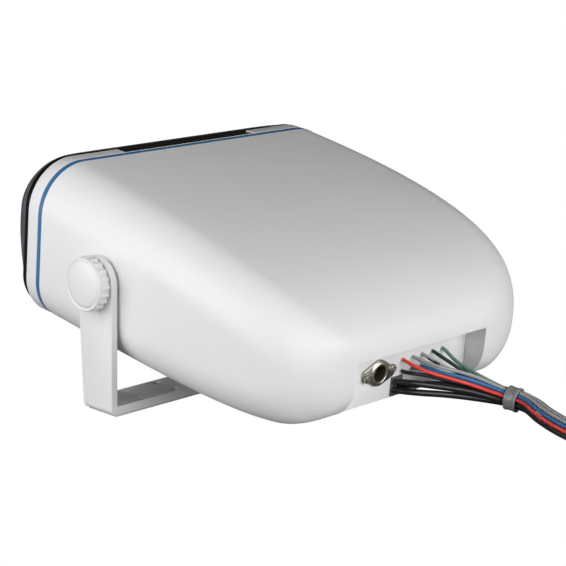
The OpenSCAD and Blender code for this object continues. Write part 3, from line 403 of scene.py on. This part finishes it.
class Form:
    """The housing's outline and its cross-sections, in the head's own frame in metres."""

    def __init__(self, settings):
        s = settings
        self.half, self.wall, self.top, self.belly, self.rear = s.width / 2, s.wall, s.top, s.belly, s.rear
        self.lip, self.steps = s.lip, s.corner_steps
        self.band_y = EDGE_Y - s.band
        self.frame_y = self.band_y - s.front_frame
        self.rim_y = self.frame_y - s.rim
        self.rear_belly = s.belly + BELLY_SAG
        self.top_curve = bezier([(self.band_y, s.top), (ROOF_BEND * s.rear, s.top - ROOF_FALL), (s.rear, NOSE_Z),
                                 (s.rear, -s.lip)])
        self.side_curve = bezier([(self.band_y, self.half), (SIDE_BEND * s.rear, self.half), (s.rear, self.half),
                                  (s.rear, TAIL_HALF)])

    def share(self, y):
        """How far along the housing a place is, from 0 at the band to 1 at the rear."""
        return (y - self.band_y) / (self.rear - self.band_y)

    def belly_at(self, y):
        """Height of the belly, which runs down to the rear and ends in a round heel."""
        start = self.rear - LOW_R
        lift = 0 if y <= start else LOW_R - math.sqrt(max(0, LOW_R ** 2 - (y - start) ** 2))
        return lift - mix(self.belly, self.rear_belly, self.share(y))

    def rounded(self, half, low, high, rl, rt, sides=6):
        """A rounded rectangle in X and Z, with extra points along its straight runs."""
        corners = ((half - rt, high - rt, rt, 0), (rt - half, high - rt, rt, 90),
                   (rl - half, low + rl, rl, 180), (half - rl, low + rl, rl, 270))
        out = []
        for n, (cx, cz, r, start) in enumerate(corners):
            arc = [(cx + r * math.cos(math.radians(start + 90 * k / self.steps)),
                    cz + r * math.sin(math.radians(start + 90 * k / self.steps))) for k in range(self.steps + 1)]
            out += arc
            nx, nz, nr, ns = corners[(n + 1) % 4]
            nxt = (nx + nr * math.cos(math.radians(ns)), nz + nr * math.sin(math.radians(ns)))
            out += [(mix(arc[-1][0], nxt[0], k / sides), mix(arc[-1][1], nxt[1], k / sides)) for k in range(1, sides)]
        return out

    def section(self, y, inset):
        high, low, f = lookup(y, self.top_curve), self.belly_at(y), self.share(y)
        rt, rl = mix(TOP_R, LOW_R, f), LOW_R
        fill = min(1, 0.98 * (high - low) / (rt + rl))
        return self.rounded(lookup(y, self.side_curve) - inset, low + inset, high - inset,
                            max(rl * fill - inset, 0.0006), max(rt * fill - inset, 0.0006))

    def rings(self, inset, count):
        """Cross-sections from the band to the rear, closer together towards the rear."""
        out = []
        for j in range(count + 1):
            y = mix(EDGE_Y, self.rear - inset, math.sin(math.radians(90 * j / count)))
            out.append([Vector((x, y, z)) for x, z in self.section(y + inset, inset)])
        return out

    def outline(self, y, inset):
        return [Vector((x, y, z)) for x, z in self.rounded(
            self.half - inset, -self.belly + inset, self.top - inset, LOW_R - inset, TOP_R - inset)]

    def reach_at(self, z, inset):
        """Half width of the front outline at height z, set in by a margin."""
        rt, rl = TOP_R - inset, LOW_R - inset
        up, down = max(0, z - (self.top - TOP_R)), max(0, LOW_R - self.belly - z)
        if up > 0:
            return self.half - TOP_R + math.sqrt(max(0, rt * rt - up * up))
        return self.half - LOW_R + math.sqrt(max(0, rl * rl - down * down))

    def bulge_at(self, z):
        """How far the grille stands out of the rim at height z."""
        crown = (self.top - self.belly) / 2 + CROWN_UP
        down, up = RUN_DOWN * (crown + self.belly - GRILLE_IN), RUN_UP * (self.top - GRILLE_IN - crown)
        reach = down if z < crown else up
        return DOME_EDGE + (DOME_HEIGHT - DOME_EDGE) * (1 - min(1, abs(crown - z) / reach) ** 2)

    def dome(self, inset, sink, levels, back):
        """Level sections of the grille's dome: flat over the middle, round towards the ends."""
        low, high = inset - self.belly + 0.0003, self.top - inset - 0.0003
        angles = [0, 1, 3, 6, 9, 12, 16, 20, 25, 30, 36, 42, 48, 54, 60, 66, 72, 78, 84, 90]
        out = []
        for j in range(levels + 1):
            z = mix(low, high, (1 - math.cos(math.pi * j / levels)) / 2)
            r, deep = self.reach_at(z, inset), self.bulge_at(z) - sink
            side = [(r * math.sin(math.radians(a)) ** (1 / 6), self.rim_y - deep * math.cos(math.radians(a)))
                    for a in angles]
            ring = [(-x, y) for x, y in reversed(side[1:])] + side
            if back:
                ring += [(r, self.rim_y + back), (-r, self.rim_y + back)]
            out.append([Vector((x, y, z)) for x, y in ring])
        return out

    def raise_low(self, bm, lift=0.0021, start=-0.016):
        """Draws the lower edge of a piece up under the white frame."""
        for v in bm.verts:
            if v.co.z < start:
                v.co.z += lift * (start - v.co.z) / (start + self.belly)
        return bm

    def ring_piece(self, profile):
        """A closed ring that follows the front outline, from a profile of (y, inset) points in millimetres."""
        return loft([self.outline(y * MM, inset * MM) for y, inset in profile], closed=True)


def form():
    return Form(bpy.context.scene.siren_housing)


# ---------------------------------------------------------------- operators


class Piece(bpy.types.Operator):
    """One step of the model"""

    bl_options = {"REGISTER", "UNDO"}

    def execute(self, context):
        self.build(context.scene)
        return {"FINISHED"}


EYE, AIM, LENS = Vector((0.6723, 0.7093, 0.2893)), Vector((0.00774, 0.03084, 0.05846)), 112.507


class SIREN_OT_camera(Piece):
    """Camera that looks at the siren's rear and side"""

    bl_idname = "siren.camera"
    bl_label = "Camera"

    def build(self, scene):
        camera = bpy.data.cameras.new("view")
        camera.sensor_width = 36
        camera.lens = LENS
        camera.clip_start, camera.clip_end = 0.05, 20
        holder = bpy.data.objects.new("view", camera)
        scene.collection.objects.link(holder)
        holder.location = EYE
        holder.rotation_euler = (AIM - EYE).to_track_quat("-Z", "Y").to_euler()
        scene.camera = holder


# Millimetres. Each lead has its own way from the panel to the ring; past the ring it keeps its place, across and up,
# in the bundle, which runs through the points of RUN: x, y, z, heading in degrees and how far the bundle spreads.
FANS = {
    "lead_red": [[1.1, 114.2, 30.4], [0, 119, 28.5], [-5, 125, 25], [-13.41, 130.05, 21.36],
                 [-24.94, 136.57, 16.53], [-38.5, 151.1, 9.81], [-40.33, 158.43, 8.7]],
    "lead_grey": [[-7, 114.2, 30.4], [-8, 119, 29], [-12.5, 125, 26.5], [-20.5, 131, 23.5],
                  [-30, 138, 19.5], [-41.27, 149.68, 12.62], [-43.34, 157.82, 11.68]],
    "lead_grey_black": [[-14.5, 114.2, 30.4], [-15, 118, 29], [-18.5, 123, 25.5], [-24.5, 129, 21.5],
                        [-32.48, 136.02, 17], [-43.16, 148.74, 12.6], [-45.54, 157.37, 11.65]],
    "lead_dark_green": [[-22.8, 114.2, 30.4], [-23, 118, 29], [-25.5, 122.5, 26], [-29.97, 127.98, 21.45],
                        [-36.44, 134.95, 15.89], [-45.91, 147.26, 9.75], [-48.47, 156.73, 8.78]],
    "lead_green": [[-30.8, 114.2, 30.4], [-31, 117, 29], [-31.5, 121, 26], [-33.02, 126.51, 22.53],
                   [-36.1, 135.03, 18.62], [-44.86, 147.87, 11.6], [-47.35, 157, 10.52]],
    "lead_black": [[1.1, 113.5, 24.1], [0, 117, 23.5], [-6.5, 122, 22], [-16.51, 128.49, 18.49],
                   [-28.54, 136.95, 14.46], [-41.22, 149.7, 9.7], [-43.3, 157.83, 8.7]],
    "lead_blue": [[-7, 113.5, 24.1], [-8, 119.5, 24.5], [-12.56, 126.97, 23.58], [-20.05, 133.47, 21.07],
                  [-29.5, 140.5, 17], [-39.58, 150.54, 11.59], [-41.44, 158.22, 10.57]],
    "lead_light_blue": [[-14.5, 113.5, 24.1], [-15, 118.5, 23.5], [-18, 124.5, 21.5], [-24, 130, 18.5],
                        [-31.5, 136.5, 14.5], [-43.18, 148.7, 9.7], [-45.5, 157.37, 8.7]],
    "supply_cable_1": [[6.2, 113, 19.3], [5, 118, 19.5], [-1.5, 124, 18.5], [-12, 130, 16],
                       [-25, 137.5, 12.5], [-39.23, 150.74, 6.85], [-41.21, 158.27, 5.86]],
    "supply_cable_2": [[6.2, 112.5, 14.6], [4.5, 117.5, 14.5], [-2, 123.5, 13.5], [-13.5, 129.5, 11.5],
                       [-27.01, 136.48, 8.49], [-42.27, 149.11, 4.73], [-44.38, 157.59, 3.78]],
    "supply_cable_3": [[1.8, 112.7, 16.4], [0.5, 117, 17], [-4.5, 121, 17], [-14, 125, 16],
                       [-27, 131.5, 13], [-45.1, 147.72, 6.85], [-47.6, 156.93, 5.87]],
}
PLACES = {
    "lead_red": (4.1, 1.5), "lead_grey": (1.05, 4.3), "lead_grey_black": (-1.1, 4.3),
    "lead_dark_green": (-4.15, 1.5), "lead_green": (-2.95, 3.25), "lead_black": (1.1, 1.4),
    "lead_blue": (2.95, 3.25), "lead_light_blue": (-1.1, 1.4), "supply_cable_1": (3.25, -1.45),
    "supply_cable_2": (0, -3.5), "supply_cable_3": (-3.25, -1.45),
}
RUN = [[-42.8, 166, 6.7, -12, 1.05], [-34.6, 181.4, 6.2, -26, 1.15], [-26, 200.8, 6.2, -20, 1.25],
       [-20, 222, 6.2, -10, 1.25], [-18, 246, 6.2, 2, 1.25], [-21, 284, 6.2, 5, 1.3], [-23, 320, 6.2, 0, 1.3]]


def route(name):
    """The lead's points in metres: its own way from the panel through the ring, then its place in the bundle."""
    out = [Vector(p) * MM for p in FANS[name]]
    across, up = PLACES[name]
    for x, y, z, heading, spread in RUN:
        turn = math.radians(heading)
        out.append(Vector((x + across * spread * math.cos(turn), y + across * spread * math.sin(turn), z + up)) * MM)
    return out


def smooth_route(points, step=0.0035):
    """A smooth line through the points, which starts straight along +Y."""
    ends = [points[0] - Vector((0, 0.004, 0)), *points, points[-1] + (points[-1] - points[-2])]
    out = []
    for a, b, c, d in zip(ends, ends[1:], ends[2:], ends[3:]):
        pieces = max(2, round((c - b).length / step))
        ab, bc, cd = (b - a).length ** 0.5, (c - b).length ** 0.5, (d - c).length ** 0.5
        m1 = c - b + ((b - a) / ab - (c - a) / (ab + bc)) * bc
        m2 = c - b + ((d - c) / cd - (d - b) / (bc + cd)) * bc
        for k in range(pieces):
            t = k / pieces
            h = (2 * t ** 3 - 3 * t ** 2 + 1, t ** 3 - 2 * t ** 2 + t, -2 * t ** 3 + 3 * t ** 2, t ** 3 - t ** 2)
            out.append(b * h[0] + m1 * h[1] + c * h[2] + m2 * h[3])
    out.append(points[-1])
    return out


def tube(points, radius, sides):
    rings, side = [], Vector((1, 0, 0))
    for k, p in enumerate(points):
        ahead, behind = points[min(k + 1, len(points) - 1)], points[max(k - 1, 0)]
        way = (ahead - behind).normalized()
        if k == 0:
            way = Vector((0, math.cos(REST_TILT), -math.sin(REST_TILT)))
        side = (side - way * side.dot(way)).normalized()
        up = side.cross(way)
        rings.append([p + radius * (math.cos(a) * side + math.sin(a) * up)
                      for a in (2 * math.pi * n / sides for n in range(sides))])
    return loft(rings)


RING_HEADING, RING_TILT = math.radians(14), math.radians(-97)
STRIPE_BELOW = -0.00045                 # the second colour covers a lead's faces below this height


class SIREN_OT_leads(Piece):
    """Signal leads and supply cables, from the rear panel through the ring to their bare ends"""

    bl_idname = "siren.leads"
    bl_label = "Leads"

    def build(self, scene):
        sizes = scene.siren_leads
        for name in FANS:
            supply = name.startswith("supply")
            across = sizes.cable if supply else sizes.lead
            slot = "pvc_black" if supply else name.replace("lead", "pvc")
            line = smooth_route(route(name))
            two_tone = name == "lead_grey_black"
            bm = tube(line, across / 2, sizes.sides)
            if two_tone:
                self.stripe(bm, line)
            made = piece(name + "_insulated", bm, None, slot, [name], smooth=60,
                         extra=["pvc_black"] if two_tone else [])
            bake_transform(made)

    def stripe(self, bm, line):
        """Gives the faces on the lead's lower side the second colour."""
        for f in bm.faces:
            if len(f.verts) != 4:
                continue
            middle = f.calc_center_median()
            near = min(line, key=lambda p: (p - middle).length)
            f.material_index = 1 if (middle - near).z < STRIPE_BELOW else 0


class SIREN_OT_lead_ring(Piece):
    """Rubber ring that holds the leads together"""

    bl_idname = "siren.lead_ring"
    bl_label = "Lead ring"

    def build(self, scene):
        low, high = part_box("lead_ring")
        centre = (low + high) / 2
        profile = [(5.8, -3.1), (6.0, -3.45), (6.35, -3.5), (6.62, -3.3), (6.7, -2.9), (6.68, -2.3), (6.5, -1.85),
                   (6.38, -1.4), (6.36, 0), (6.38, 1.4), (6.5, 1.85), (6.68, 2.3), (6.7, 2.9), (6.62, 3.3),
                   (6.35, 3.5), (6.0, 3.45), (5.8, 3.1)]
        bm = spun([(r * MM, 0, z * MM) for r, z in profile], (0, 0, 1), 48)
        bmesh.ops.recalc_face_normals(bm, faces=bm.faces)
        turn = Matrix.Rotation(RING_HEADING, 4, "Z") @ Matrix.Rotation(RING_TILT, 4, "X")
        made = piece("lead_ring_moulded", bm, None, "dark_rubber", ["lead_ring"],
                     place=Matrix.Translation(centre) @ turn, smooth=50)
        made.material_slots[0].material = finishes()["ring_rubber"]
        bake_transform(made)


class SIREN_OT_housing(Piece):
    """Moulded rear housing with the recess for the leads"""

    bl_idname = "siren.housing"
    bl_label = "Housing"

    def build(self, scene):
        f, s = form(), scene.siren_housing
        shell = loft(list(reversed(f.rings(0, s.stations))) + f.rings(f.wall, 24))
        core = loft(f.rings(f.wall / 2, s.stations))
        half, under, behind = s.recess / 2, -0.09, 0.16
        block = box_bm((-half - f.wall, SEAT_Y - SEAT_WALL, under), (half + f.wall, behind, -f.lip + f.wall))
        shell = carve(shell, carve(block, core, "INTERSECT"), "UNION")
        shell = carve(shell, box_bm((-half, SEAT_Y, under), (half, behind, -f.lip)), "DIFFERENCE")
        panel, back = solid_of("rear_panel"), HEAD.inverted()
        sill = min((back @ v.co).z for v in panel.verts)
        panel.free()
        window = box_bm((LEDGE - half, SEAT_Y - 2 * SEAT_WALL, sill + f.wall + LEDGE),
                        (half - LEDGE, SEAT_Y + 2 * SEAT_WALL, -f.lip - LEDGE))
        shell = carve(shell, window, "DIFFERENCE")
        piece("rear_housing_moulded", shell, "head", "white_shell", ["rear_housing"], place=HEAD, smooth=28)


class SIREN_OT_front_trim(Piece):
    """Trim band, white front frame and glossy rim"""

    bl_idname = "siren.front_trim"
    bl_label = "Front trim"

    def build(self, scene):
        f = form()
        edge, band, front, rim = (v / MM for v in (EDGE_Y, f.band_y, f.frame_y, f.rim_y))
        t = 0.25
        bm = f.ring_piece([(edge, 2.5), (edge, t), (edge - t, 0.05), (band + t, 0.05), (band, t), (band, 2.5)])
        piece("trim_band_moulded", bm, "head", "band", ["trim_band"], place=HEAD)
        bm = f.ring_piece([(band, 3), (band, t), (band - t, 0), (front + 0.7, 0), (front + 0.2, 0.2),
                           (front, 0.7), (front, 3)])
        notch = soften(box_bm((-CLIP_HALF, f.frame_y - 0.002, f.top - CLIP_DEPTH),
                              (CLIP_HALF, f.band_y - CLIP_LIP, f.top + 0.004)), 0.0003, 2)
        bm = carve(bm, notch, "DIFFERENCE")
        inner = f.ring_piece([(front + 3.2, 2.9), (front + 3.2, 11.7), (front + 5.8, 11.7), (front + 5.8, 2.9)])
        add(bm, inner)
        piece("front_frame_moulded", bm, "head", "white_shell", ["front_frame"], place=HEAD)
        bm = f.ring_piece([(front, 6.9), (front, 0.7), (front - 0.3, 0.45), (rim + 1.2, 0.4), (rim + 0.4, 0.7),
                           (rim, 1.4), (rim, 6.9)])
        piece("front_rim_moulded", f.raise_low(bm), "head", "black_gloss", ["front_rim"], place=HEAD)


class SIREN_OT_clip_strip(Piece):
    """Black strip that lies in the front frame's top"""

    bl_idname = "siren.clip_strip"
    bl_label = "Clip strip"

    def build(self, scene):
        f = form()
        face, back = f.top - 0.0005, f.band_y - CLIP_LIP
        strip = soften(box_bm((-CLIP_HALF + 0.0001, f.frame_y, f.top - CLIP_DEPTH),
                              (CLIP_HALF - 0.0001, back - 0.0001, face)), 0.0002, 2)
        middle = (f.frame_y + back) / 2
        for x in (-CLIP_HALF / 3, 0, CLIP_HALF / 3):
            pocket = box_bm((x - 0.0025, middle - 0.0006, face - 0.0005), (x + 0.0025, middle + 0.0006, face + 0.001))
            strip = carve(strip, pocket, "DIFFERENCE")
        piece("clip_strip_finished", strip, "head", "black_gloss", ["clip_strip"], place=HEAD)


class SIREN_OT_grille(Piece):
    """Domed grille of slats and ribs"""

    bl_idname = "siren.grille"
    bl_label = "Grille"

    def build(self, scene):
        f = form()
        pitch, wall = SLAT_PITCH, GRILLE_WALL
        outer = loft(f.dome(GRILLE_IN, 0, 44, 0))
        outer = carve(outer, loft(f.dome(GRILLE_IN + wall, wall, 36, wall)), "DIFFERENCE")
        middle = (f.top - f.belly) / 2
        rows = [middle + k * pitch for k in range(-15, 16) if SLOTS_LOW < middle + k * pitch < SLOTS_HIGH]
        gaps = bmesh.new()
        for z in rows:
            reach, half = f.reach_at(z, 0) - SLOT_MARGIN, (pitch - SLAT) / 2
            gap = box_bm((-reach, f.rim_y - 0.020, z - half), (reach, f.rim_y + 0.001, z + half))
            ends = [e for e in gap.edges if abs(e.verts[0].co.x - e.verts[1].co.x) < 1e-6
                    and abs(e.verts[0].co.z - e.verts[1].co.z) < 1e-6]
            bmesh.ops.bevel(gap, geom=ends, affect="EDGES", offset=SLOT_ROUND, offset_type="OFFSET", segments=4,
                            profile=0.5)
            add(gaps, gap)
        outer = carve(outer, gaps, "DIFFERENCE")
        foot = f.ring_piece([(f.rim_y / MM, 1.6), (f.rim_y / MM - 1.2, 1.6), (f.rim_y / MM - 1.2, 6),
                             (f.rim_y / MM, 6)])
        add(outer, foot)
        for k in range(-2, 3):
            across = k * (f.half - GRILLE_IN) * RIB_SPACING
            add(outer, self.rib(f, across, rows[0] - pitch / 2, rows[-1] + pitch / 2))
        piece("front_grille_finished", f.raise_low(outer), "head", "grille", ["front_grille"], place=HEAD, smooth=32)

    def rib(self, f, x, low, high):
        """An upright rib behind the slats."""
        rings = []
        for k in range(33):
            z = mix(low, high, k / 32)
            skin = f.rim_y - f.bulge_at(z)
            front, back = skin + GRILLE_WALL / 2, skin + RIB_DEPTH
            rings.append([Vector(p) for p in ((x - RIB_HALF, front, z), (x + RIB_HALF, front, z),
                                              (x + RIB_HALF, back, z), (x - RIB_HALF, back, z))])
        return loft(rings)


class SIREN_OT_bracket(Piece):
    """Trunnion bracket and the pad under it"""

    bl_idname = "siren.bracket"
    bl_label = "Bracket"

    def build(self, scene):
        refined("mounting_bracket", "stand", 0.45, "white_metal", segments=3, smooth=40)
        refined("base_pad", "stand", 0.4, "pad", segments=2)


class SIREN_OT_knobs(Piece):
    """Clamp knobs with grip ribs, and their washers"""

    bl_idname = "siren.knobs"
    bl_label = "Knobs"

    def build(self, scene):
        k = scene.siren_knob
        for side, body in ((1, "left_knob"), (-1, "right_knob")):
            name = "knob_left" if side > 0 else "knob_right"
            low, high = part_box(name)
            base = low.x if side > 0 else -high.x
            r = k.radius / MM
            top = (high.x - low.x) / MM
            grip = top - 3.4
            profile = [(0, 0), (r - 1.2, 0), (r - 0.3, 0.3), (r, 0.9), (r, top - 3.7), (r + 0.22, top - 3.3),
                       (r + 0.4, top - 2.9), (r + 0.4, top - 2.3), (r + 0.25, top - 1.8), (r - 0.1, top - 1.45),
                       (r - 0.5, top - 1.4), (r - 0.95, top - 1.6), (r - 1.25, top - 1.9), (r - 1.55, top - 1.75),
                       (r - 2.0, top - 1.4), (r - 3.0, top - 0.95), (r - 4.5, top - 0.6), (r - 7, top - 0.3),
                       (r / 4, top - 0.04), (0, top)]
            bm = spun([(base + x * MM, d * MM, 0) for d, x in profile], (1, 0, 0), k.ribs * 12, closed=False)
            bmesh.ops.remove_doubles(bm, verts=bm.verts, dist=1e-6)
            for v in bm.verts:
                out = math.hypot(v.co.y, v.co.z)
                along = (v.co.x - base) / MM
                if out < (r - 0.4) * MM or along > grip:
                    continue
                wave = max(0.0, math.cos(k.ribs * math.atan2(v.co.z, v.co.y)) + 0.25) / 1.25
                fade = min(1, max(0, (grip - along) / 0.4))
                grown = (out + k.rib * wave ** 0.45 * fade) / out
                v.co.y, v.co.z = v.co.y * grown, v.co.z * grown
            if side < 0:
                bmesh.ops.scale(bm, vec=(-1, 1, 1), verts=bm.verts)
            bmesh.ops.recalc_face_normals(bm, faces=bm.faces)
            piece(name + "_moulded", bm, body, "knob", [name], place=Matrix.Translation((0, 0, PIVOT.z)), smooth=50)
            refined(name.replace("knob", "washer"), "head", 0.15, "light_nylon")


class SIREN_OT_rear_panel(Piece):
    """Rear panel with its screws, the lead seals and the cable gland"""

    bl_idname = "siren.rear_panel"
    bl_label = "Rear panel"

    def build(self, scene):
        refined("rear_panel", "head", 0.2, "white_shell", smooth=40)
        refined("panel_screws", "head", 0.1, "zinc", smooth=50)
        refined("lead_seals", "head", 0.15, "seal_white", smooth=50)
        refined("cable_gland", "head", 0.25, "dark_rubber")


class SIREN_OT_socket(Piece):
    """Coaxial socket with its two screws"""

    bl_idname = "siren.socket"
    bl_label = "Socket"

    def build(self, scene):
        edge = [(0, 0), (0, 1.25), (0.12, 1.5), (0.4, 1.6)]
        boss = [(7.2, 1.62), (6.7, 1.85), (6.1, 2.2), (5.45, 2.42), (4.95, 2.45), (4.6, 2.25), (4.45, 1.95),
                (4.45, -2.0), (4.98, -2.0), (4.98, -6.0), (6.0, -6.0), (6.0, 0)]
        turns = [math.tau * k / 180 for k in range(180)]
        reach = [self.flange(a) for a in turns]
        rings = [[Vector(((r - inset) * math.cos(a), h, (r - inset) * math.sin(a))) * MM
                  for a, r in zip(turns, reach)] for inset, h in edge]
        rings += [[Vector((min(r, out - 0.45) * math.cos(a), h, min(r, out - 0.45) * math.sin(a))) * MM
                   for a, out in zip(turns, reach)] for r, h in boss]
        piece("socket_body_finished", loft(rings, closed=True), "head", "nickel", ["socket_body"],
              place=HEAD @ Matrix.Translation(SOCKET_AT), smooth=50)
        cup = [(1.5, -6.0), (4.98, -6.0), (4.98, -2.05), (4.42, -2.05), (4.42, 1.9), (4.32, 2.02), (4.2, 1.9),
               (4.2, -3.8), (1.5, -3.8)]
        piece("socket_insulator_finished", self.turned(cup), "head", "olive", ["socket_insulator"], smooth=50)
        refined("socket_screws", "head", 0.12, "nickel", smooth=50)

    def flange(self, a):
        """Reach of the flange's outline at an angle, in millimetres: a disc between two lobes, with straight sides."""
        return min(max(DISC_R, LOBE_R + LOBE_AT * abs(math.cos(a + math.radians(k) - SOCKET_LEAN)))
                   / math.cos(math.radians(k)) for k in range(-80, 81, 2))

    def turned(self, profile):
        """A ring about the socket's axis, from (radius, height over the panel) points in millimetres."""
        bm = spun([(r * MM, h * MM, 0) for r, h in profile], (0, 1, 0), 48)
        bmesh.ops.recalc_face_normals(bm, faces=bm.faces)
        bmesh.ops.transform(bm, matrix=HEAD @ Matrix.Translation(SOCKET_AT), verts=bm.verts)
        return bm


class SIREN_OT_solids(Piece):
    """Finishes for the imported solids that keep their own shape"""

    bl_idname = "siren.solids"
    bl_label = "Inner parts"

    def build(self, scene):
        made = finishes()
        slots = {p["node"]: p["material_slot"] for p in frame["record"]["subparts"]}
        for name, packed in frame["nodes"].items():
            if packed.hide_render:
                continue
            packed.data.materials.clear()
            packed.data.materials.append(made[slots[name]])


SKY_LOW, SKY_HIGH = 0.035, 0.06         # brightness of the surroundings at the horizon and overhead
FLOOR_GREY = 0.28                       # what the floor throws back at the part
LAMP_AIM = Vector((0, 0.02, 0.06))
# name, azimuth and elevation in degrees, distance, diameter, power
LAMPS = (("key", 98, 4, 1.6, 1.3, 11.5), ("front", 58, 1, 1.3, 0.8, 5.2), ("side", 80, 31, 0.58, 0.45, 1.25),
         ("rear", 176, 11, 1.5, 1.2, 15.0), ("right", 204, 4, 1.5, 0.8, 8.5))


class SIREN_OT_stage(Piece):
    """Pale floor and soft lamps"""

    bl_idname = "siren.stage"
    bl_label = "Stage"

    def build(self, scene):
        bm = bmesh.new()
        bmesh.ops.create_grid(bm, x_segments=1, y_segments=1, size=6)
        floor = loose("floor", bm)
        floor.data.materials.append(self.floor_finish())
        self.world(scene)
        for lamp in LAMPS:
            self.lamp(scene, *lamp)
        scene.view_settings.view_transform = "Standard"

    def lamp(self, scene, name, azimuth, elevation, reach, size, power):
        lamp = bpy.data.lights.new(name, "AREA")
        lamp.shape, lamp.size, lamp.energy = "DISK", size, power
        holder = bpy.data.objects.new(name, lamp)
        a, e = math.radians(azimuth), math.radians(elevation)
        back = Vector((math.sin(a) * math.cos(e), -math.cos(a) * math.cos(e), math.sin(e)))
        holder.location = LAMP_AIM + back * reach
        holder.rotation_euler = (-back).to_track_quat("-Z", "Y").to_euler()
        scene.collection.objects.link(holder)

    def floor_finish(self):
        made = bpy.data.materials.new("floor white")
        made.use_nodes = True
        tree = made.node_tree
        tree.nodes.clear()
        matte = node(tree, "ShaderNodeBsdfDiffuse", Color=(FLOOR_GREY, FLOOR_GREY, FLOOR_GREY, 1))
        glow = node(tree, "ShaderNodeEmission", Color=(1, 1, 1, 1), Strength=1.0)
        self.seen_white(tree, "ShaderNodeOutputMaterial", matte, glow)
        return made

    def seen_white(self, tree, output, lit, white):
        """Shows a plain white to the camera, and what is lit to everything else."""
        out = tree.nodes.new(output)
        share = node(tree, "ShaderNodeMixShader")
        path = tree.nodes.new("ShaderNodeLightPath")
        tree.links.new(path.outputs["Is Camera Ray"], share.inputs["Fac"])
        tree.links.new(lit.outputs[0], share.inputs[1])
        tree.links.new(white.outputs[0], share.inputs[2])
        tree.links.new(share.outputs[0], out.inputs["Surface"])

    def world(self, scene):
        made = bpy.data.worlds.new("studio")
        scene.world = made
        made.use_nodes = True
        tree = made.node_tree
        tree.nodes.clear()
        place = tree.nodes.new("ShaderNodeTexCoord")
        split = tree.nodes.new("ShaderNodeSeparateXYZ")
        tree.links.new(place.outputs["Generated"], split.inputs[0])
        sky = tree.nodes.new("ShaderNodeValToRGB")
        sky.color_ramp.interpolation = "EASE"
        sky.color_ramp.elements[0].position, sky.color_ramp.elements[1].position = 0.10, 0.75
        sky.color_ramp.elements[0].color = (*[SKY_LOW] * 3, 1)
        sky.color_ramp.elements[1].color = (*[SKY_HIGH] * 3, 1)
        tree.links.new(split.outputs["Z"], sky.inputs["Fac"])
        soft = node(tree, "ShaderNodeBackground", Strength=1.0)
        tree.links.new(sky.outputs["Color"], soft.inputs["Color"])
        seen = node(tree, "ShaderNodeBackground", Color=(1, 1, 1, 1), Strength=1.0)
        self.seen_white(tree, "ShaderNodeOutputWorld", soft, seen)


class SIREN_PT_panel(bpy.types.Panel):
    """Lists the steps and the sizes"""

    bl_idname = "SIREN_PT_panel"
    bl_label = "Alarm siren"
    bl_space_type = "VIEW_3D"
    bl_region_type = "UI"
    bl_category = "Siren"

    def draw(self, context):
        for group in (context.scene.siren_housing, context.scene.siren_knob, context.scene.siren_leads,
                      context.scene.siren_colours):
            for name in group.__annotations__:
                self.layout.prop(group, name)
        for step in STEPS:
            self.layout.operator(step.bl_idname)


STEPS = (SIREN_OT_camera, SIREN_OT_lead_ring, SIREN_OT_leads, SIREN_OT_housing, SIREN_OT_front_trim,
         SIREN_OT_clip_strip, SIREN_OT_grille, SIREN_OT_bracket, SIREN_OT_knobs, SIREN_OT_rear_panel,
         SIREN_OT_socket, SIREN_OT_solids, SIREN_OT_stage)
GROUPS = {"siren_housing": SirenHousing, "siren_knob": SirenKnob, "siren_leads": SirenLeads,
          "siren_colours": SirenColours}


def register():
    for group in GROUPS.values():
        bpy.utils.register_class(group)
    for step in STEPS:
        bpy.utils.register_class(step)
    bpy.utils.register_class(SIREN_PT_panel)
    for name, group in GROUPS.items():
        setattr(bpy.types.Scene, name, PointerProperty(type=group))


def unregister():
    for name in GROUPS:
        delattr(bpy.types.Scene, name)
    bpy.utils.unregister_class(SIREN_PT_panel)
    for step in reversed(STEPS):
        bpy.utils.unregister_class(step)
    for group in reversed(GROUPS.values()):
        bpy.utils.unregister_class(group)


def main():
    register()
    for step in STEPS:
        group, name = step.bl_idname.split(".")
        getattr(getattr(bpy.ops, group), name)()
    bpy.context.view_layer.update()


if __name__ == "__main__":
    main()
